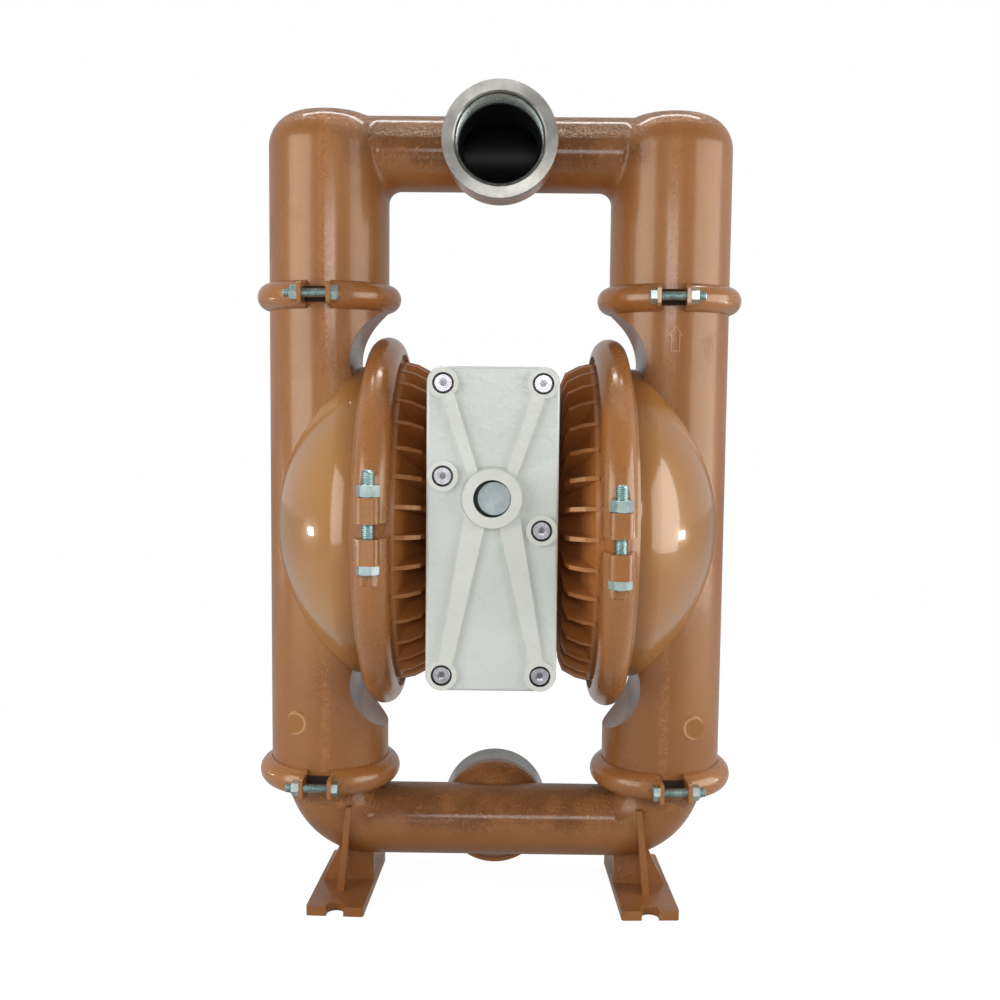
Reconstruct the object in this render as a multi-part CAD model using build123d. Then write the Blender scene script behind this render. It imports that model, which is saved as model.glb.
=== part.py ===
from build123d import *
from math import cos, radians, sin, sqrt
import os

# Air operated double diaphragm pump, clamped metal, 3 inch ports.
# Frame in mm: +X to the right of the port side, +Y to the rear, +Z up, feet on z = 0.

# Overall layout
COLUMN_X = 177.8
SHAFT_Z = 403.5
LOWER_JOINT_Z = 135.3
UPPER_JOINT_Z = 635.9
OUTLET_Z = 785.3
INLET_Z = 78.6

# Columns, manifold legs and pipes
COLUMN_R = 62.2
OUTLET_PIPE_R = 38.2
INLET_PIPE_R = 37.6
CASTING_WALL = 7.5
LEG_TOP_Z = 828.0
LEG_CROWN_R = 170.0
LEG_EDGE_R = 36.0
ROOT_FILLET = 13.0

# Ports
COLLAR_R = 56.7
COLLAR_LENGTH = 50.0
PORT_FACE_Y = 84.0
SUCTION_FACE_Y = 70.0
PORT_THREAD_R = 44.45
PORT_THREAD_DEPTH = 40.0

# Joint flanges and the clamp bands round them
FLANGE_R = 69.0
FLANGE_RIM = 4.0
FLANGE_ROOT = 8.5
BAND_CORE_R = 60.4
BAND_SECTION_R = 14.3
BAND_GAP = 25.0
SMALL_BOLT_R = 4.76
SMALL_BOLT_Y = 80.0
SMALL_EAR_THICK = 4.0
BAND_CLEARANCE = 0.25

# Diaphragm joint and its heavy clamp
DIAPHRAGM_X = 115.0
BEAD_THICK = 6.0
BIG_FLANGE_R = 186.0
BIG_RIM = 4.0
BIG_ROOT = 9.2
BIG_ROOT_R = 175.5
BIG_CORE_R = 176.0
BIG_SECTION_R = 16.6
BIG_GAP = 14.0
BIG_BOLT_R = 6.35
BIG_BOLT_Y = 195.0
BIG_EAR_HEIGHT = 24.0
BIG_EAR_Y = 204.0

# Liquid chamber dome
DOME_CENTRE_X = 30.0
DOME_SPHERE_R = 200.0
DOME_RIM_R = 162.0
DOME_EDGE_R = 30.0
DOME_WALL = 8.0
RELIEF_X = 105.0
RELIEF_R = 45.0

# Ball valves
BALL_R = 38.0
BALL_RISE = 20.0
BALL_LIFT = 16.0
SEAT_R = 52.0
SEAT_BORE_R = 28.0
SEAT_THICK = 8.0
PASSAGE_R = 36.0
PASSAGE_SHIFT = 16.2
VALVE_BORE_R = 50.0
CAGE_CLEARANCE = 0.8
FIT = 0.2

# Air side
RIB_COUNT = 36
RIB_THICK = 4.2
HUB_X = 60.0
HUB_R = 92.0
DISH_X = 76.0
BLOCK_X = 58.0
BLOCK_HALF_Y = 150.0
BLOCK_WIDTH = 96.0
HUB_SCREW_PITCH_R = 70.0
HUB_SCREW_COUNT = 6

# Shaft, pistons and pilot
SHAFT_R = 14.0
STUD_R = 10.0
PISTON_R = 100.0
STROKE = 18.0
PISTON_GAP_X = 100.0
PISTON_TAIL_X = 136.0
RUNNING_FIT = 0.05
PILOT_Z = SHAFT_Z + 45.0
PILOT_R = 6.0
PILOT_TRAVEL = 8.0

# Exhaust plate
PLATE_X = -2.8
PLATE_Z = SHAFT_Z + 7.3
PLATE_WIDTH = 123.6
PLATE_HEIGHT = 305.0
PLATE_THICK = 10.0
PLATE_CORNER = 15.0
GASKET_THICK = 1.5
SCREW_X = 46.3
SCREW_Z = 137.0
MID_SCREWS = ((-SCREW_X, 50.9), (SCREW_X, 0.7))
EXHAUST_DZ = 30.7
EXHAUST_BOSS_R = 27.5
EXHAUST_R = 17.5

# Air distribution valve on the rear of the block
VALVE_Y = 177.0
VALVE_BARREL_R = 24.0
SPOOL_R = 15.0
SPOOL_HALF = 36.0
SPOOL_TRAVEL = 9.0
CAP_R = 19.5
AIR_INLET_R = 13.3
AIR_INLET_DEPTH = 20.0
AIR_INLET_DZ = 47.0
VALVE_FACE_Y = 200.0

# Feet
FOOT_X = 159.3
FOOT_TOE_IN = 2.5
FOOT_WIDTH = 59.5
FOOT_HALF_LENGTH = 79.0
FOOT_THICK = 10.0
NOTCH_R = 9.0
NOTCH_DEPTH = 15.0

os.makedirs("parts", exist_ok=True)


def turned_x(points):
    """Solid of revolution about the shaft line from (x, radius) points."""
    face = Plane.XZ * make_face(Polyline(points, close=True))
    return Pos(0, 0, SHAFT_Z) * revolve(face, Axis.X)


def turned_z(points):
    """Solid of revolution about the Z axis from (radius, z) points."""
    return revolve(Plane.XZ * make_face(Polyline(points, close=True)), Axis.Z)


def rod_x(radius, x0, x1, y=0.0, z=SHAFT_Z):
    """Round bar along X between two stations."""
    return Pos((x0 + x1) / 2, y, z) * Rot(0, 90, 0) * Cylinder(radius, abs(x1 - x0))


def rod_y(radius, y0, y1, x=0.0, z=SHAFT_Z):
    """Round bar along Y between two stations."""
    return Pos(x, (y0 + y1) / 2, z) * Rot(90, 0, 0) * Cylinder(radius, abs(y1 - y0))


def rod_z(radius, z0, z1, x=0.0, y=0.0):
    """Round bar along Z between two heights."""
    return Pos(x, y, (z0 + z1) / 2) * Cylinder(radius, abs(z1 - z0))


def block(x0, x1, y0, y1, z0, z1):
    """Straight-sided block between limits."""
    centre = Pos((x0 + x1) / 2, (y0 + y1) / 2, (z0 + z1) / 2)
    return centre * Box(abs(x1 - x0), abs(y1 - y0), abs(z1 - z0))


def slab_y(width, height, corner, y0, y1, z, x=0.0):
    """Rounded rectangular slab facing Y."""
    face = Plane.XZ * RectangleRounded(width, height, corner)
    return Pos(x, max(y0, y1), z) * extrude(face, amount=abs(y1 - y0))


def mirrored(shape):
    """The same piece on the other side of the pump."""
    return mirror(shape, about=Plane.YZ)


def capped_post(radius, z_bottom, z_top, crown_r, edge_r):
    """Round post with a shallow spherical crown and a rounded shoulder."""
    ball = Pos(0, 0, z_top - crown_r) * Rot(90, 0, 0) * Sphere(crown_r)
    post = rod_z(radius, z_bottom, z_top + 10) & (ball + rod_z(radius + 1, z_bottom, z_top - crown_r))
    shoulder = post.edges().filter_by(GeomType.CIRCLE).sort_by(Axis.Z)[-1]
    return fillet(shoulder, edge_r)


def dome(sphere_r, rim_r, edge_r):
    """Spherical bowl about the shaft line with a rounded, cylindrical rim."""
    ball = Pos(DOME_CENTRE_X, 0, SHAFT_Z) * Rot(0, 0, 180) * Sphere(sphere_r)
    bowl = rod_x(rim_r, DIAPHRAGM_X, DOME_CENTRE_X + sphere_r + 10) & ball
    shoulder = bowl.edges().filter_by(GeomType.CIRCLE).sort_by(Axis.X)[-1]
    return fillet(shoulder, edge_r)


def joint_flange(bore, up):
    """V-flange on a tube end, its mating face on z = 0 and the tube above or below."""
    points = [
        (bore, 0),
        (FLANGE_R, 0),
        (FLANGE_R, up * FLANGE_RIM),
        (COLUMN_R, up * FLANGE_ROOT),
        (bore, up * FLANGE_ROOT),
    ]
    return turned_z(points)


def ball_centre(joint_z):
    return joint_z + BALL_RISE


def ball_cage(joint_z, top_z, side):
    """Four guide ribs and a stop bar that hold the ball over its seat."""
    guide_r = BALL_R + CAGE_CLEARANCE
    guide_top = ball_centre(joint_z) + BALL_LIFT
    stop_z = guide_top + BALL_R + FIT
    x = side * COLUMN_X
    ribs = Part()
    for angle in (45, 135, 225, 315):
        rib = block(guide_r, COLUMN_R - 4, -4, 4, joint_z + 3, guide_top)
        ribs += Pos(x, 0, 0) * Rot(0, 0, angle) * rib
    return ribs + block(x - 5, x + 5, -top_z, top_z, stop_z, stop_z + 10)


# ---------------------------------------------------------------- discharge manifold
def discharge_manifold():
    post = capped_post(COLUMN_R, UPPER_JOINT_Z, LEG_TOP_Z, LEG_CROWN_R, LEG_EDGE_R)
    half = rod_x(OUTLET_PIPE_R, 0, COLUMN_X, 0, OUTLET_Z) + Pos(COLUMN_X, 0, 0) * Rot(0, 0, 90) * post
    half = fillet(half.edges().filter_by(GeomType.BSPLINE), ROOT_FILLET)
    body = half + mirrored(half)
    body += rod_y(COLLAR_R, -PORT_FACE_Y, -PORT_FACE_Y + COLLAR_LENGTH, 0, OUTLET_Z)
    body += Pos(0, -PORT_FACE_Y + COLLAR_LENGTH, OUTLET_Z) * Rot(-90, 0, 0) * Pos(0, 0, 15) * Cone(
        COLLAR_R - 4, OUTLET_PIPE_R - 1, 30
    )
    for side in (-1, 1):
        body += Pos(side * COLUMN_X, 0, UPPER_JOINT_Z) * joint_flange(VALVE_BORE_R, 1)
    wall = CASTING_WALL
    bore = OUTLET_PIPE_R - wall
    cuts = [rod_x(bore, -COLUMN_X, COLUMN_X, 0, OUTLET_Z)]
    for side in (-1, 1):
        cuts.append(
            Pos(side * COLUMN_X, 0, 0)
            * capped_post(
                VALVE_BORE_R, UPPER_JOINT_Z, LEG_TOP_Z - wall, LEG_CROWN_R - wall, LEG_EDGE_R - wall
            )
        )
    cuts += [
        rod_y(PORT_THREAD_R, -PORT_FACE_Y - 1, -PORT_FACE_Y + PORT_THREAD_DEPTH, 0, OUTLET_Z),
        rod_y(bore, -PORT_FACE_Y, 0, 0, OUTLET_Z),
        port_throat(OUTLET_Z, bore, -1, PORT_FACE_Y),
        chamfer_ring_y(-PORT_FACE_Y, PORT_THREAD_R, OUTLET_Z, 1),
    ]
    for cut in cuts:
        body -= cut
    for side in (-1, 1):
        body += ball_cage(UPPER_JOINT_Z, COLUMN_R - 4, side)
    return body


def port_throat(z, bore, side, face_y):
    """Taper that leads from the end of a port's thread into the cross pipe."""
    start = face_y - PORT_THREAD_DEPTH + 1
    length = start - 6
    taper = Pos(0, 0, start - length / 2) * Cone(bore, PORT_THREAD_R - 2.5, length)
    return Pos(0, 0, z) * Rot(-90 * side, 0, 0) * taper


def chamfer_ring_y(face_y, radius, z, direction):
    """Lead-in cone at the mouth of a threaded port."""
    cone = Cone(radius + 1.6, radius, 1.6)
    turn = Rot(-90 * direction, 0, 0)
    return Pos(0, face_y + direction * 0.8, z) * turn * cone


# ---------------------------------------------------------------- inlet manifold
def elbow(flange_r, pipe_r, bend, side):
    """Bend that narrows from the joint flange down into the cross pipe."""
    sections = []
    top_z = LOWER_JOINT_Z - FLANGE_RIM
    drop = top_z - INLET_Z
    for step in range(5):
        angle = radians(22.5 * step)
        radius = flange_r + (pipe_r - flange_r) * (step / 4) ** 0.8
        x = COLUMN_X - bend * (1 - cos(angle))
        z = top_z - drop * sin(angle)
        plane = Plane(origin=(side * x, 0, z), x_dir=(0, 1, 0), z_dir=(-side * sin(angle), 0, -cos(angle)))
        sections.append(plane * Circle(radius))
    return loft(sections)


def foot(side):
    """Toed-in foot plate with its notches, a web under the pipe and a leaning rib fore and aft."""
    half = FOOT_WIDTH / 2
    plate = block(-half, half, -FOOT_HALF_LENGTH, FOOT_HALF_LENGTH, 0, FOOT_THICK)
    plate = fillet(plate.edges().filter_by(Axis.Z), 3)
    for end in (-1, 1):
        y_in = end * (FOOT_HALF_LENGTH - NOTCH_DEPTH + NOTCH_R)
        plate -= rod_z(NOTCH_R, -1, FOOT_THICK + 1, 0, y_in)
        plate -= block(-NOTCH_R, NOTCH_R, y_in, end * (FOOT_HALF_LENGTH + 1), -1, FOOT_THICK + 1)
    plate = Pos(side * FOOT_X, 0, 0) * Rot(0, 0, side * FOOT_TOE_IN) * plate
    low = FOOT_THICK - 2
    web = Polyline(
        (side * (FOOT_X - 29), low),
        (side * (FOOT_X + 27), low),
        (side * (FOOT_X + 4), 56),
        (side * (FOOT_X + 4), INLET_Z - 5),
        (side * (FOOT_X - 29), INLET_Z - 5),
        close=True,
    )
    rib = Polyline(
        (side * (FOOT_X + 7), low),
        (side * (FOOT_X - 0.5), low),
        (side * (FOOT_X - 10), 104),
        (side * (FOOT_X - 4), 104),
        close=True,
    )
    web = extrude(Plane.XZ * make_face(web), amount=6, both=True)
    rib = extrude(Plane.XZ * make_face(rib), amount=47, both=True)
    for end in (-1, 1):
        slope = Polyline((end * 39, low), (end * 48, 105), (end * 60, 105), (end * 60, low), close=True)
        rib -= extrude(Plane.YZ * make_face(slope), amount=300, both=True)
    return plate + web + rib


def inlet_manifold():
    straight = COLUMN_X - 50
    bore = INLET_PIPE_R - CASTING_WALL
    body = rod_x(INLET_PIPE_R, -straight - 1, straight + 1, 0, INLET_Z)
    cuts = [rod_x(bore, -straight - 1, straight + 1, 0, INLET_Z)]
    for side in (-1, 1):
        body += elbow(48.0, INLET_PIPE_R, 50, side)
        body += foot(side)
        flange = Pos(side * COLUMN_X, 0, LOWER_JOINT_Z) * joint_flange(0, -1)
        flare = Pos(side * COLUMN_X, 0, LOWER_JOINT_Z - FLANGE_ROOT - 6) * Cone(47, COLUMN_R, 12)
        body += flange + flare
        cuts += [
            elbow(40.0, bore, 50, side),
            rod_z(40.0, LOWER_JOINT_Z - 12, LOWER_JOINT_Z, side * COLUMN_X),
            rod_z(SEAT_R, LOWER_JOINT_Z - SEAT_THICK, LOWER_JOINT_Z + 1, side * COLUMN_X),
        ]
    collar_y = SUCTION_FACE_Y - COLLAR_LENGTH
    body += rod_y(COLLAR_R, collar_y, SUCTION_FACE_Y, 0, INLET_Z)
    body += Pos(0, collar_y, INLET_Z) * Rot(90, 0, 0) * Pos(0, 0, 10) * Cone(
        COLLAR_R - 4, INLET_PIPE_R - 1, 20
    )
    cuts += [
        rod_y(PORT_THREAD_R, SUCTION_FACE_Y - PORT_THREAD_DEPTH, SUCTION_FACE_Y + 1, 0, INLET_Z),
        rod_y(bore, 0, SUCTION_FACE_Y, 0, INLET_Z),
        port_throat(INLET_Z, bore, 1, SUCTION_FACE_Y),
        chamfer_ring_y(SUCTION_FACE_Y, PORT_THREAD_R, INLET_Z, -1),
    ]
    for cut in cuts:
        body -= cut
    return body


# ---------------------------------------------------------------- liquid chamber (right side)
def liquid_chamber():
    column = rod_z(COLUMN_R, LOWER_JOINT_Z, UPPER_JOINT_Z, COLUMN_X)
    relief_core = BIG_CORE_R
    relief = Pos(0, 0, SHAFT_Z) * revolve(
        Plane.XZ * Pos(RELIEF_X, relief_core) * Circle(RELIEF_R), Axis.X
    )
    column -= relief
    column -= rod_x(relief_core, 80, RELIEF_X + RELIEF_R - 18)
    shell = dome(DOME_SPHERE_R, DOME_RIM_R, DOME_EDGE_R)
    face_x = DIAPHRAGM_X + BEAD_THICK / 2
    flange = turned_x(
        [
            (face_x, 0),
            (face_x, BIG_FLANGE_R),
            (face_x + BIG_RIM, BIG_FLANGE_R),
            (face_x + BIG_ROOT, BIG_ROOT_R),
            (face_x + BIG_ROOT, 170),
            (face_x + 19, DOME_RIM_R - 1),
            (face_x + 19, 0),
        ]
    )
    body = column + (shell - rod_x(200, DIAPHRAGM_X - 1, face_x)) + flange
    cap_x = COLUMN_X + COLUMN_R
    body -= rod_x(300, cap_x, cap_x + 60)
    for end in (-1, 1):
        joint_z = LOWER_JOINT_Z if end < 0 else UPPER_JOINT_Z
        body += Pos(COLUMN_X, 0, joint_z) * joint_flange(0, -end)
    angle = radians(27)
    boss_x = COLUMN_X + sin(angle) * (COLUMN_R - 6)
    boss_y = -cos(angle) * (COLUMN_R - 6)
    boss = Pos(boss_x, boss_y, 196.5) * Rot(90, 0, 27) * Pos(0, 0, 4.5) * Cylinder(12, 9)
    body += boss
    passage_x = COLUMN_X + PASSAGE_SHIFT
    neck_z = LOWER_JOINT_Z + 38
    stop_z = ball_centre(LOWER_JOINT_Z) + BALL_LIFT + BALL_R + FIT
    upper_neck = UPPER_JOINT_Z - 42
    pocket_z = UPPER_JOINT_Z - SEAT_THICK
    lower_taper = loft(
        [
            Pos(COLUMN_X, 0, neck_z - 1) * Circle(VALVE_BORE_R - 0.5),
            Pos(passage_x, 0, stop_z) * Circle(PASSAGE_R),
        ]
    )
    upper_taper = loft(
        [
            Pos(passage_x, 0, upper_neck - 1) * Circle(PASSAGE_R - 0.5),
            Pos(COLUMN_X, 0, pocket_z + 1) * Circle(VALVE_BORE_R - 10),
        ]
    )
    cuts = [
        dome(DOME_SPHERE_R - DOME_WALL, DOME_RIM_R - DOME_WALL, DOME_EDGE_R - DOME_WALL),
        rod_z(VALVE_BORE_R, LOWER_JOINT_Z - 1, neck_z, COLUMN_X),
        lower_taper,
        rod_z(PASSAGE_R, stop_z - 1, upper_neck, passage_x),
        upper_taper,
        rod_z(SEAT_R, pocket_z, UPPER_JOINT_Z + 1, COLUMN_X),
    ]
    for cut in cuts:
        body -= cut
    return body + ball_cage(LOWER_JOINT_Z, 34, 1)


# ---------------------------------------------------------------- air chamber (right side)
def air_chamber():
    """Ribbed dish that closes the air side of one diaphragm."""
    face_x = DIAPHRAGM_X - BEAD_THICK / 2
    dish = turned_x(
        [
            (HUB_X, SHAFT_R + 2),
            (HUB_X, HUB_R),
            (68, 112),
            (88, 150),
            (94, 166),
            (face_x - BIG_ROOT, 166),
            (face_x - BIG_ROOT, BIG_ROOT_R),
            (face_x - BIG_RIM, BIG_FLANGE_R),
            (face_x, BIG_FLANGE_R),
            (face_x, 165),
            (104, 160),
            (95, 146),
            (DISH_X, 108),
            (DISH_X, SHAFT_R + 2),
        ]
    )
    rib_face = Polyline(
        (97, 150),
        (97, 167.5),
        (84, 164.5),
        (70, 157),
        (66, 147),
        (62, 88),
        (70, 88),
        close=True,
    )
    rib = extrude(Plane.XZ * make_face(rib_face), amount=RIB_THICK / 2, both=True)
    ribs = Part() + [
        Pos(0, 0, SHAFT_Z) * Rot(360 / RIB_COUNT * index, 0, 0) * rib for index in range(RIB_COUNT)
    ]
    body = dish + ribs
    for index in range(HUB_SCREW_COUNT):
        angle = radians(360 / HUB_SCREW_COUNT * (index + 0.5))
        y = HUB_SCREW_PITCH_R * sin(angle)
        z = SHAFT_Z + HUB_SCREW_PITCH_R * cos(angle)
        body -= rod_x(5.3, HUB_X - 1, DISH_X + 1, y, z)
        body -= rod_x(8.8, DISH_X - 10, DISH_X + 1, y, z)
    body -= rod_x(PILOT_R + 1.5, HUB_X - 1, DISH_X + 1, 0, PILOT_Z)
    return body


def hub_pattern(shape):
    """Copies of a screw-hole shape on the hub's screw circle, for the right side."""
    copies = Part()
    for index in range(HUB_SCREW_COUNT):
        angle = radians(360 / HUB_SCREW_COUNT * (index + 0.5))
        copies += Pos(0, HUB_SCREW_PITCH_R * sin(angle), HUB_SCREW_PITCH_R * cos(angle)) * shape
    return copies


# ---------------------------------------------------------------- centre block and plate
def plate_screws_at():
    spots = [(sx * SCREW_X, sz * SCREW_Z) for sx in (-1, 1) for sz in (-1, 1)]
    return [(PLATE_X + x, dz) for x, dz in spots + list(MID_SCREWS)]


def valve_screws_at():
    return [(sx * 46.0, dz) for sx in (-1, 1) for dz in (-40.0, 66.0)]


def centre_block():
    front = -BLOCK_HALF_Y
    body = slab_y(BLOCK_WIDTH, PLATE_HEIGHT - 24, 14, front, 60, PLATE_Z)
    body += slab_y(BLOCK_WIDTH, 150, 14, 60, BLOCK_HALF_Y, SHAFT_Z + 12)
    body += slab_y(2 * BLOCK_X - 4, PLATE_HEIGHT - 4, PLATE_CORNER, front, front + 12, PLATE_Z, PLATE_X)
    body += slab_y(2 * BLOCK_X - 4, 134, 10, BLOCK_HALF_Y - 12, BLOCK_HALF_Y, SHAFT_Z + 13)
    body += rod_x(HUB_R, -BLOCK_X, BLOCK_X)
    for x, dz in plate_screws_at():
        body += rod_y(11, front, front + 34, x, PLATE_Z + dz)
    for x, dz in valve_screws_at():
        body += rod_y(10, BLOCK_HALF_Y - 30, BLOCK_HALF_Y, x, SHAFT_Z + dz)
    body -= slab_y(64, PLATE_HEIGHT - 60, 10, front - 1, front + 42, PLATE_Z, PLATE_X)
    body -= rod_x(SHAFT_R + 6, -BLOCK_X - 1, BLOCK_X + 1)
    body -= rod_x(PILOT_R + 4, -BLOCK_X - 1, BLOCK_X + 1, 0, PILOT_Z)
    for side in (-1, 1):
        holes = hub_pattern(rod_x(4.4, BLOCK_X - 26, BLOCK_X + 1))
        body -= holes if side > 0 else mirrored(holes)
    for x, dz in plate_screws_at():
        body -= rod_y(4.4, front - 1, front + 26, x, PLATE_Z + dz)
    for x, dz in valve_screws_at():
        body -= rod_y(3.4, BLOCK_HALF_Y - 22, BLOCK_HALF_Y + 1, x, SHAFT_Z + dz)
    for dz in (-12, 12):
        body -= rod_y(7, 60, BLOCK_HALF_Y + 1, 20, SHAFT_Z + dz)
    return body


def tapered_rib(start, start_width, end, end_width, y0, y1):
    """Straight plate rib whose width changes from one end to the other."""
    dx = end[0] - start[0]
    dz = end[1] - start[1]
    length = sqrt(dx * dx + dz * dz)
    nx = -dz / length
    nz = dx / length
    corners = [
        (start[0] + nx * start_width / 2, start[1] + nz * start_width / 2),
        (end[0] + nx * end_width / 2, end[1] + nz * end_width / 2),
        (end[0] - nx * end_width / 2, end[1] - nz * end_width / 2),
        (start[0] - nx * start_width / 2, start[1] - nz * start_width / 2),
    ]
    face = Plane.XZ * make_face(Polyline(corners, close=True))
    return Pos(PLATE_X, y1, PLATE_Z) * extrude(face, amount=y1 - y0)


def exhaust_plate():
    back = -BLOCK_HALF_Y - GASKET_THICK - 0.1
    front = back - PLATE_THICK
    body = slab_y(PLATE_WIDTH, PLATE_HEIGHT, PLATE_CORNER, front, back, PLATE_Z, PLATE_X)
    rim = body.faces().sort_by(Axis.Y)[0].edges()
    body = fillet(rim, 3)
    for x, dz in plate_screws_at():
        body += rod_y(14.5, front - 4, back, x, PLATE_Z + dz)
    for side in (-1, 1):
        top = (side * (SCREW_X - 3), SCREW_Z - 8)
        bottom = (side * (SCREW_X - 3), -SCREW_Z + 8)
        port = (side * 12, EXHAUST_DZ)
        body += tapered_rib((side * 14, EXHAUST_DZ + 10), 10, top, 13, front - 4.5, back)
        body += tapered_rib(port, 22, bottom, 13, front - 4.5, back)
    body += Pos(PLATE_X, front - 5.5, PLATE_Z + EXHAUST_DZ) * Rot(90, 0, 0) * Cone(
        EXHAUST_BOSS_R + 2.5, EXHAUST_BOSS_R, 11
    )
    body -= slab_y(60, PLATE_HEIGHT - 64, 8, back - 4, back + 1, PLATE_Z, PLATE_X)
    for x, dz in plate_screws_at():
        body -= rod_y(5.3, front - 20, back + 1, x, PLATE_Z + dz)
        body -= rod_y(9.6, front - 20, front + 4, x, PLATE_Z + dz)
    return body - rod_y(EXHAUST_R, front - 20, back + 1, PLATE_X, PLATE_Z + EXHAUST_DZ)


def exhaust_plug():
    back = -BLOCK_HALF_Y - GASKET_THICK
    front = back - PLATE_THICK - 5
    plug = rod_y(EXHAUST_R - FIT, back - 1, front, PLATE_X, PLATE_Z + EXHAUST_DZ)
    return fillet(plug.edges().sort_by(Axis.Y)[0], 1.5)


def exhaust_plate_gasket():
    y0 = -BLOCK_HALF_Y - GASKET_THICK
    body = slab_y(
        PLATE_WIDTH - 8, PLATE_HEIGHT - 8, PLATE_CORNER - 3, y0, -BLOCK_HALF_Y, PLATE_Z, PLATE_X
    )
    body -= slab_y(60, PLATE_HEIGHT - 64, 8, y0 - 1, -BLOCK_HALF_Y + 1, PLATE_Z, PLATE_X)
    for x, dz in plate_screws_at():
        body -= rod_y(5.3, y0 - 1, -BLOCK_HALF_Y + 1, x, PLATE_Z + dz)
    return body


def cap_screw(shank_r, head_r, head_h, length, key_r):
    """Socket head cap screw, its head above z = 0 and its shank below."""
    screw = rod_z(head_r, 0, head_h) + rod_z(shank_r, -length, 0)
    screw = chamfer(screw.edges().sort_by(Axis.Z)[-1], 0.8)
    socket = Pos(0, 0, head_h / 2) * extrude(RegularPolygon(key_r, 6), amount=head_h)
    return screw - socket


def exhaust_plate_screws():
    seat_y = -BLOCK_HALF_Y - GASKET_THICK - 0.1 - PLATE_THICK + 4 - 0.05
    screw = cap_screw(4.2, 8.6, 8.0, 24, 4.4)
    return [
        Pos(x, seat_y, PLATE_Z + dz) * Rot(90, 0, 0) * screw for x, dz in plate_screws_at()
    ]


def air_valve_body():
    y0 = BLOCK_HALF_Y + GASKET_THICK + 0.1
    body = slab_y(2 * BLOCK_X - 4, 134, 10, y0, y0 + 11, SHAFT_Z + 13)
    body += rod_x(VALVE_BARREL_R, -BLOCK_X, BLOCK_X, VALVE_Y)
    body += block(-BLOCK_X + 8, BLOCK_X - 8, y0, VALVE_Y, SHAFT_Z - 22, SHAFT_Z + 22)
    body += rod_y(21, y0, VALVE_FACE_Y, 0, SHAFT_Z + AIR_INLET_DZ)
    body += block(-12, 12, y0, VALVE_Y + 18, SHAFT_Z, SHAFT_Z + AIR_INLET_DZ)
    body -= rod_x(SPOOL_R + RUNNING_FIT, -BLOCK_X - 1, BLOCK_X + 1, VALVE_Y)
    for side in (-1, 1):
        body -= rod_x(CAP_R + 0.4, side * (SPOOL_HALF + SPOOL_TRAVEL + 1), side * (BLOCK_X + 1), VALVE_Y)
        body -= rod_x(CAP_R + 1.9, side * 54.6, side * 56.4, VALVE_Y)
    body -= rod_y(AIR_INLET_R, VALVE_FACE_Y - AIR_INLET_DEPTH, VALVE_FACE_Y + 1, 0, SHAFT_Z + AIR_INLET_DZ)
    body -= rod_z(7, SHAFT_Z, SHAFT_Z + AIR_INLET_DZ, 0, VALVE_Y)
    for dz in (-12, 12):
        body -= rod_y(7, y0 - 1, VALVE_Y, 20, SHAFT_Z + dz)
    for x, dz in valve_screws_at():
        body -= rod_y(4.3, y0 - 1, y0 + 12, x, SHAFT_Z + dz)
    return body


def air_valve_gasket():
    y1 = BLOCK_HALF_Y + GASKET_THICK
    body = slab_y(2 * BLOCK_X - 8, 130, 8, BLOCK_HALF_Y, y1, SHAFT_Z + 13)
    for dz in (-12, 12):
        body -= rod_y(7.5, BLOCK_HALF_Y - 1, y1 + 1, 20, SHAFT_Z + dz)
    for x, dz in valve_screws_at():
        body -= rod_y(4.3, BLOCK_HALF_Y - 1, y1 + 1, x, SHAFT_Z + dz)
    return body


def air_valve_screws():
    seat_y = BLOCK_HALF_Y + GASKET_THICK + 0.1 + 11 + 0.05
    screw = cap_screw(3.2, 6.3, 6.0, 28, 3.4)
    return [Pos(x, seat_y, SHAFT_Z + dz) * Rot(-90, 0, 0) * screw for x, dz in valve_screws_at()]


def valve_end_cap():
    """Right-hand plug of the valve bore, with its ring groove."""
    x0 = SPOOL_HALF + SPOOL_TRAVEL + 1.05
    body = rod_x(CAP_R, x0, 54.5, VALVE_Y)
    body -= rod_x(CAP_R + 1, 48.4, 52.0, VALVE_Y) - rod_x(CAP_R - 3.3, 48.4, 52.0, VALVE_Y)
    body += rod_x(6, 54.5, 57, VALVE_Y)
    return body


def ring_x(ring_r, section_r, x, y, z=SHAFT_Z):
    return Pos(x, y, z) * Rot(0, 90, 0) * Torus(ring_r, section_r)


def retaining_ring():
    ring = rod_x(CAP_R + 1.7, 54.7, 56.3, VALVE_Y) - rod_x(CAP_R - 3, 54.6, 56.4, VALVE_Y)
    gap = block(54, 57, VALVE_Y - 4, VALVE_Y + 4, SHAFT_Z - 30, SHAFT_Z)
    return ring - gap


def air_valve_spool():
    body = rod_x(SPOOL_R, -SPOOL_HALF, SPOOL_HALF, VALVE_Y)
    for x in (-14, 14):
        groove = rod_x(SPOOL_R + 1, x - 7, x + 7, VALVE_Y) - rod_x(SPOOL_R - 5, x - 7, x + 7, VALVE_Y)
        body -= groove
    return chamfer(body.edges().group_by(Axis.X)[0] + body.edges().group_by(Axis.X)[-1], 1)


# ---------------------------------------------------------------- moving core
def shaft():
    step_x = PISTON_GAP_X
    body = rod_x(SHAFT_R, -step_x, step_x)
    body += rod_x(STUD_R, -PISTON_TAIL_X + 8, PISTON_TAIL_X - 8)
    ends = body.edges().group_by(Axis.X)
    return chamfer(ends[0] + ends[-1], 1.5)


def inner_piston():
    return turned_x(
        [
            (PISTON_GAP_X + 0.05, STUD_R + 0.1),
            (PISTON_GAP_X + 0.05, 30),
            (105, 60),
            (106, PISTON_R - 3),
            (109, PISTON_R),
            (112.4, PISTON_R - 2),
            (112.4, STUD_R + 0.1),
        ]
    )


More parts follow.
